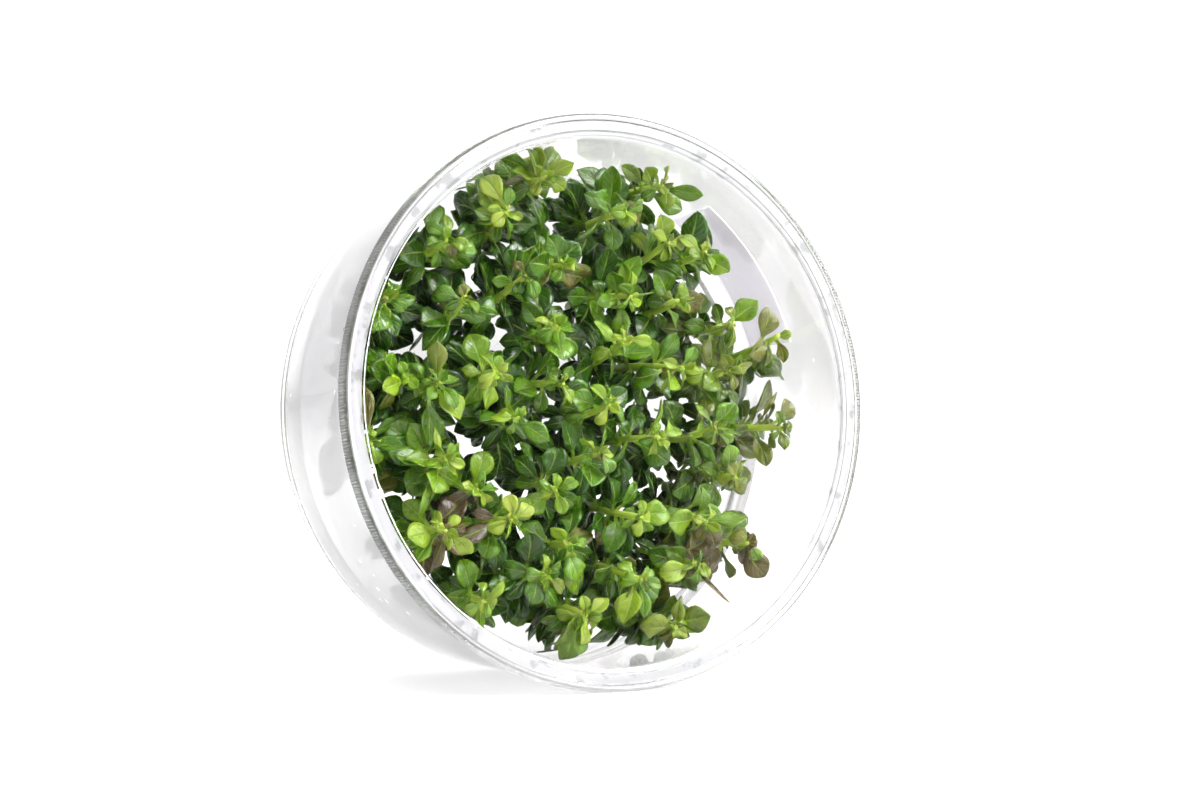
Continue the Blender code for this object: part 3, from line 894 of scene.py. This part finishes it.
def lid_material():
    """Clear panel; pale flecked ring; the milled skirt dull, painted dark as painted shade, and painted
    lighter near the floor as painted light bounced up from it.
    """
    material, net, shader = new_material("clear_lid_plastic")
    place = net.object_place()
    frost, skirt = net.mark("frost"), net.mark("skirt")
    grain = net.noise(place, 900.0)
    fleck_and_shade_noise = net.noise(place, 260.0)
    ripple = net.noise(place, RIPPLE_SCALE, 2.0)
    flecked = net.mix(net.step(fleck_and_shade_noise, 0.56, 0.66), (0.76, 0.755, 0.775), (0.46, 0.46, 0.47))
    # Painted light: the skirt's dark colour turns lighter towards the floor, standing in for light
    # bounced up from it.
    painted_floor_light = net.step(net.split(place)[2], 0.016, 0.001, 0.0, 0.8)
    # Painted shade: the clear milled skirt gets a dark colour, varied by the noise, in place of the dark
    # surroundings seen through its ribs.
    edge = net.mix(net.step(fleck_and_shade_noise, 0.3, 0.7), (0.03, 0.033, 0.028), (0.12, 0.125, 0.112))
    edge = net.mix(painted_floor_light, edge, (0.55, 0.55, 0.55))
    rough = net.plus(net.times(net.step(grain, 0.3, 0.7, 0.38, 0.55), frost), net.times(skirt, 0.28))
    height = net.plus(ripple, net.times(grain, net.math("MAXIMUM", frost, skirt)))
    net.fill(shader, {
        "Base Color": net.mix(skirt, net.mix(frost, PLASTIC_TINT, flecked), edge), "IOR": PLASTIC_IOR,
        "Roughness": net.plus(rough, 0.02),
        "Transmission Weight": net.plus(net.times(frost, -0.55), 1.0),
        "Normal": net.bump(height, RIPPLE_HEIGHT, RIPPLE_STRENGTH)})
    return material


def label_material():
    """Bare thin paper strip, greyish lavender, that lets some light through."""
    material, net, shader = new_material("bare_paper")
    fibres = net.noise(net.object_place(), 900.0, 5.0, 0.7)
    net.fill(shader, {
        "Base Color": net.mix(net.step(fibres, 0.3, 0.7), (0.80, 0.78, 0.83), (0.87, 0.85, 0.90)),
        "Roughness": 0.6, "Transmission Weight": 0.6, "IOR": 1.15, "Normal": net.bump(fibres, 0.00003)})
    return material


# Turned pieces


def placed(name, data):
    """A new object in the scene."""
    item = bpy.data.objects.new(name, data)
    bpy.context.scene.collection.objects.link(item)
    return item


def taken_mesh(holder, name):
    """The holder's mesh with its modifiers worked in; the holder goes."""
    mesh = bpy.data.meshes.new_from_object(holder.evaluated_get(bpy.context.evaluated_depsgraph_get()))
    bpy.data.objects.remove(holder)
    mesh.name = name
    return mesh


def arc(centre, radius, start, end, steps):
    """Points on an arc in the (r, z) plane, both ends included, angles in degrees."""
    points = []
    for i in range(steps + 1):
        angle = math.radians(start + (end - start) * i / steps)
        points.append((centre[0] + radius * math.cos(angle), centre[1] + radius * math.sin(angle)))
    return points


def turned_mesh(name, profile, steps):
    """A profile of (r, z) points in millimetres, both ends on the axis, turned to a closed body."""
    line = bpy.data.meshes.new(name + "_profile")
    points = [(r * ROUND if r > 0.0 else 0.0, 0.0, z) for r, z in profile]
    line.from_pydata(points, [(i, i + 1) for i in range(len(points) - 1)], [])
    guide = placed(name + "_profile", line)
    screw = guide.modifiers.new("turn", "SCREW")
    screw.steps = steps
    screw.render_steps = steps
    screw.use_merge_vertices = True
    screw.merge_threshold = 0.0001
    return taken_mesh(guide, name)


SMOOTH_ANGLE = math.radians(30.0)


def laid_down(name, mesh, materials, node):
    """The mesh in its lying pose, flattened where it meets the floor, as a finished piece."""
    mesh.transform(TO_WORLD)
    for vert in mesh.vertices:
        vert.co.z = max(vert.co.z, 0.0)
    mesh.shade_smooth()
    mesh.set_sharp_from_angle(angle=SMOOTH_ANGLE)
    piece = placed(name, mesh)
    for material in materials:
        mesh.materials.append(material)
    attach(piece, "root")
    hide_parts(node)


def cup_profile():
    corner_r = inner_wall_r(BASE_TOP + INNER_CORNER)
    corner = arc((corner_r - INNER_CORNER, BASE_TOP + INNER_CORNER), INNER_CORNER, 0, -90, 8)
    foot = [(0.0, FOOT_H), (FOOT_R - 0.3, FOOT_H), (FOOT_R, FOOT_H - 0.1), (FOOT_R + FOOT_BEVEL, 0.0)]
    foot += [(BASE_R - BASE_BEVEL, 0.0), (BASE_R - 0.15, 0.35), (BASE_R, BASE_EDGE_Z)]
    wall = [(outer_wall_r(z), z) for z in (6.0, 12.0, 18.0, 24.0, 30.0)] + [(NECK_R, NECK_Z)]
    rim = [(NECK_R + 0.2, NECK_Z + 0.5), (RIM_R, NECK_Z + NECK_STEP), (RIM_R, RIM_TOP - 0.3)]
    rim += [(RIM_R - 0.3, RIM_TOP), (inner_wall_r(NECK_Z) + MOUTH_FLARE, RIM_TOP)]
    inner = [(inner_wall_r(z), z) for z in (NECK_Z, 28.0, 22.0, 16.0, GEL_TOP, 7.0)]
    floor = [(corner_r - INNER_CORNER - 1.0, BASE_TOP), (0.0, BASE_TOP)]
    return (foot + wall + rim + inner + corner + floor)[::-1]


def lid_profile():
    skirt_r = RIM_R + CLEAR
    under = LID_TOP - LID_SHEET
    plug_r = PANEL_R + LID_SHEET
    panel_under = PANEL_TOP - LID_SHEET
    top = [(0.0, PANEL_TOP), (PANEL_R - 0.8, PANEL_TOP), (PANEL_R - 0.4, PANEL_TOP)]
    top += [(PANEL_R - 0.1, PANEL_TOP + 0.12)]
    top += [(PANEL_R, PANEL_TOP + 0.4), (PANEL_R, LID_TOP - 0.25), (PANEL_R + 0.25, LID_TOP)]
    shoulder = arc((LID_R - LID_EDGE, LID_TOP - LID_EDGE), LID_EDGE, 90, 0, 5)
    skirt = [(LID_R, LID_SKIRT_Z + 0.15), (LID_R - 0.15, LID_SKIRT_Z), (skirt_r, LID_SKIRT_Z)]
    below = [(skirt_r, under - 0.25), (skirt_r - 0.25, under), (plug_r, under)]
    below += [(plug_r, panel_under + 0.2), (plug_r - 0.2, panel_under)]
    below += [(PANEL_R, panel_under), (PANEL_R - 0.6, panel_under), (0.0, panel_under)]
    return top + shoulder + skirt + below


def gel_profile():
    """The gel wets the cup: it reaches a hair into the wall, so that no air shows between them."""
    bottom = BASE_TOP - WETTED
    side_r = inner_wall_r(BASE_TOP + INNER_CORNER) + WETTED
    top_r = inner_wall_r(GEL_TOP) + WETTED
    level = GEL_TOP - MENISCUS
    corner = arc((side_r - INNER_CORNER, bottom + INNER_CORNER), INNER_CORNER, 0, -90, 8)
    top = [(0.0, level), (top_r - 4.0, level), (top_r - 3.0, level)]
    top += [(top_r - 1.0, GEL_TOP - 0.15), (top_r, GEL_TOP)]
    return top + corner + [(corner[-1][0] - 1.0, bottom), (0.0, bottom)]


def milled_tree():
    """Geometry Nodes: cuts fine grooves round the skirt by pulling every other column inwards."""
    tree = bpy.data.node_groups.new("milled_skirt", "GeometryNodeTree")
    for name, kind in (("Geometry", "Geometry"), ("Ribs", "Float"), ("Depth", "Float"),
                       ("From Radius", "Float"), ("From Z", "Float"), ("To Z", "Float"),
                       ("Material", "Material")):
        tree.interface.new_socket(name, in_out="INPUT", socket_type="NodeSocket" + kind)
    tree.interface.new_socket("Geometry", in_out="OUTPUT", socket_type="NodeSocketGeometry")
    net = Net(tree)
    given = net.new("NodeGroupInput").outputs
    x, y, z = net.split(net.new("GeometryNodeInputPosition").outputs[0])
    flat = net.new("ShaderNodeCombineXYZ", {0: x, 1: y}).outputs[0]
    radius = net.new("ShaderNodeVectorMath", {0: flat}, operation="LENGTH").outputs["Value"]
    outward = net.new("ShaderNodeVectorMath", {0: flat}, operation="NORMALIZE").outputs[0]
    outside = net.math("GREATER_THAN", radius, given["From Radius"])
    above = net.math("GREATER_THAN", z, given["From Z"])
    below = net.math("LESS_THAN", z, given["To Z"])
    there = net.times(outside, net.times(above, below))
    wave = net.math("COSINE", net.times(net.math("ARCTAN2", y, x), given["Ribs"]))
    grooved = net.times(there, net.math("GREATER_THAN", wave, 0.0))
    inward = net.times(grooved, net.times(given["Depth"], -1.0))
    shift = net.new("ShaderNodeVectorMath", {0: outward, "Scale": inward}, operation="SCALE").outputs[0]
    moved = net.new("GeometryNodeSetPosition", {"Geometry": given["Geometry"], "Offset": shift})
    whole = net.new("GeometryNodeRealizeInstances", {0: moved.outputs[0]})
    finish = net.new("GeometryNodeSetMaterial", {
        "Geometry": whole.outputs[0], "Material": given["Material"]})
    net.new("NodeGroupOutput", {0: finish.outputs[0]})
    return tree


def worked(mesh, tree, values):
    """The mesh after a node tree, whose inputs are set by name through their identifiers."""
    name = mesh.name
    holder = placed(name, mesh)
    work = holder.modifiers.new("work", "NODES")
    work.node_group = tree
    for item in tree.interface.items_tree:
        if item.item_type == "SOCKET" and item.in_out == "INPUT" and item.name in values:
            work[item.identifier] = values[item.name]
    return taken_mesh(holder, name)


def marked(mesh, name, chosen):
    """Writes 1 on the faces that are chosen by radius and height, and 0 on the others."""
    mark = mesh.attributes.new(name, "FLOAT", "FACE")
    for face in mesh.polygons:
        centre = face.center
        mark.data[face.index].value = 1.0 if chosen(math.hypot(centre.x, centre.y), centre.z) else 0.0


def film_at(r, z):
    """How thick the film lies: none outside and on the base, thinner low down, full at FILM_FULL_Z."""
    if r > inner_wall_r(z) * ROUND + 0.2 or not BASE_TOP + 0.3 < z < RIM_TOP - 0.5:
        return 0.0
    return min(1.0, 0.5 + 0.5 * z / FILM_FULL_Z)


def make_cup(plastic):
    mesh = turned_mesh("culture_cup", cup_profile(), TURN_STEPS)
    film = mesh.attributes.new("film", "FLOAT", "POINT")
    for vert in mesh.vertices:
        film.data[vert.index].value = film_at(math.hypot(vert.co.x, vert.co.y), vert.co.z)
    laid_down("culture_cup", mesh, [plastic], "cup")


def make_lid(plastic):
    mesh = turned_mesh("press_lid", lid_profile(), 2 * RIBS)
    mesh = worked(mesh, milled_tree(), {
        "Ribs": float(RIBS), "Depth": RIB_DEPTH, "From Radius": (LID_R - 0.3) * ROUND,
        "From Z": LID_SKIRT_Z + 0.1, "To Z": LID_TOP - 0.2, "Material": plastic})
    marked(mesh, "frost", lambda r, z: PANEL_R * ROUND - 0.05 < r < RIM_R and z < LID_TOP - 0.02)
    marked(mesh, "skirt", lambda r, z: r > (LID_R - 0.62) * ROUND and z > LID_SKIRT_Z + 0.05)
    laid_down("press_lid", mesh, [], "lid")


def make_gel(jelly):
    mesh = turned_mesh("gel_disc", gel_profile(), TURN_STEPS)
    laid_down("gel_disc", mesh, [jelly], "gel")


def make_label(paper):
    """The bare strip bent round the outside of the wall."""
    mesh = bpy.data.meshes.new("bare_label")
    bm = bmesh.new()
    bmesh.ops.create_grid(bm, x_segments=24, y_segments=6, size=0.5)
    first, last = (math.radians(angle) for angle in LABEL_ANGLES)
    for vert in bm.verts:
        z = LABEL_FROM_Z + (vert.co.y + 0.5) * (LABEL_TO_Z - LABEL_FROM_Z)
        angle = first + (vert.co.x + 0.5) * (last - first)
        r = (outer_wall_r(z) + LABEL_GAP) * ROUND
        vert.co = (r * math.cos(angle), r * math.sin(angle), z)
    bm.to_mesh(mesh)
    bm.free()
    holder = placed("bare_label", mesh)
    sheet = holder.modifiers.new("sheet", "SOLIDIFY")
    sheet.thickness = LABEL_THICK
    sheet.offset = 1.0
    laid_down("bare_label", taken_mesh(holder, "bare_label"), [paper], "label")


def make_plants(blade, stem):
    shoots, stems = grow_colony()
    fill_colony(shoots, stems)
    tint_colony(shoots)
    for number, shoot in enumerate(shoots, 1):
        bm = bmesh.new()
        uv_layer = bm.loops.layers.uv.new("leaf_uv")
        look_layer = bm.loops.layers.float_color.new("leaf_look")
        for leaf in shoot["leaves"]:
            add_leaf(bm, leaf, uv_layer, look_layer)
        add_stem(bm, shoot, uv_layer, look_layer)
        name = "plant_%02d" % number
        mesh = bpy.data.meshes.new(name)
        bm.to_mesh(mesh)
        bm.free()
        mesh.materials.append(blade)
        mesh.materials.append(stem)
        piece = placed(name, mesh)
        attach(piece, "root")
        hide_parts("shoot_%02d" % number)


# Setting


CAMERA_TURN = math.radians(-27.2)
CAMERA_RISE = math.radians(3.0)
CAMERA_AWAY = 0.650
SENSOR_WIDTH = 36.0
PIXELS_PER_MM = 5.83
PHOTO_WIDTH = 1200
PHOTO_HEIGHT = 800
RIM_AT = (612.5, 401.0)


def toward(turn, rise):
    """The direction from the cup to what stands at a turn and a rise, in radians."""
    return Vector((math.sin(turn) * math.cos(rise), -math.cos(turn) * math.cos(rise), math.sin(rise)))


def make_camera():
    """The camera at the photograph's angle; the middle of the lid's top is seen at RIM_AT."""
    back = toward(CAMERA_TURN, CAMERA_RISE)
    right = Vector((math.cos(CAMERA_TURN), math.sin(CAMERA_TURN), 0.0))
    rim = TO_WORLD @ Vector((0.0, 0.0, LID_TOP))
    across = (RIM_AT[0] - PHOTO_WIDTH / 2) / PIXELS_PER_MM / 1000
    rise = (PHOTO_HEIGHT / 2 - RIM_AT[1]) / PIXELS_PER_MM / 1000
    data = bpy.data.cameras.new("camera")
    data.sensor_width = SENSOR_WIDTH
    data.lens = SENSOR_WIDTH * PIXELS_PER_MM * CAMERA_AWAY * 1000 / PHOTO_WIDTH
    camera = placed("camera", data)
    camera.location = rim - right * across - back.cross(right) * rise + back * CAMERA_AWAY
    camera.rotation_mode = "QUATERNION"
    camera.rotation_quaternion = back.to_track_quat("Z", "Y")
    bpy.context.scene.camera = camera


# Middle of the dark part of the room and of the white backdrop, and how bright each part is
DARK_SIDE = Vector((0.457, -0.874, 0.168))
BACKDROP = Vector((0.457, 0.889, 0.0))
BACKDROP_LEVEL = 1.25
FRONT_LEVEL = 0.31
DARK_LEVEL = 0.03
# Softboxes: name, turn and rise in degrees, side in metres, watts
SOFTBOX_AWAY = 0.9
SOFTBOXES = (
    ("key_softbox", 30.0, 44.0, 0.55, 44.0),
    ("side_softbox", 80.0, 26.0, 0.4, 7.0),
    ("top_softbox", -80.0, 70.0, 0.5, 7.0),
)
CUP_MIDDLE = Vector((0.0, 0.0, 0.045))


def make_softbox(name, turn, rise, size, energy):
    """A square soft light that looks at the cup."""
    data = bpy.data.lights.new(name, "AREA")
    data.shape = "SQUARE"
    data.size = size
    data.energy = energy
    lamp = placed(name, data)
    way = toward(math.radians(turn), math.radians(rise))
    lamp.location = CUP_MIDDLE + way * SOFTBOX_AWAY
    lamp.rotation_mode = "QUATERNION"
    lamp.rotation_quaternion = way.to_track_quat("Z", "Y")


def make_light():
    """A white backdrop, dimmer in front and dark where the flat lid would mirror it, and softboxes."""
    world = bpy.data.worlds.new("studio")
    bpy.context.scene.world = world
    world.use_nodes = True
    net = Net(world.node_tree)
    direction = net.new("ShaderNodeTexCoord").outputs["Generated"]

    def along(axis):
        node = net.new("ShaderNodeVectorMath", {0: direction, 1: axis}, operation="DOT_PRODUCT")
        return node.outputs["Value"]

    level = net.step(along(BACKDROP), -0.35, 0.25, FRONT_LEVEL, BACKDROP_LEVEL)
    level = net.times(level, net.step(along(DARK_SIDE), 0.70, 0.93, 1.0, DARK_LEVEL))
    level = net.math("MAXIMUM", level, net.new("ShaderNodeLightPath").outputs["Is Camera Ray"])
    gray = net.new("ShaderNodeCombineXYZ", {0: level, 1: level, 2: level}).outputs[0]
    net.fill(world.node_tree.nodes["Background"], {"Color": gray})
    for softbox in SOFTBOXES:
        make_softbox(*softbox)


def make_floor():
    mesh = bpy.data.meshes.new("floor")
    bm = bmesh.new()
    bmesh.ops.create_grid(bm, x_segments=1, y_segments=1, size=6.0)
    bm.to_mesh(mesh)
    bm.free()
    floor = placed("floor", mesh)
    material, net, shader = new_material("pale_floor")
    net.fill(shader, {
        "Base Color": (0.30, 0.30, 0.30), "Roughness": 0.9, "Emission Color": (1.0, 1.0, 1.0),
        "Emission Strength": 0.74})
    mesh.materials.append(material)


def build():
    bpy.context.scene.view_settings.view_transform = "Standard"
    make_cup(cup_material())
    make_lid(lid_material())
    make_gel(gel_material())
    make_label(label_material())
    make_plants(leaf_material(), stem_material())
    make_floor()
    make_light()
    make_camera()


build()
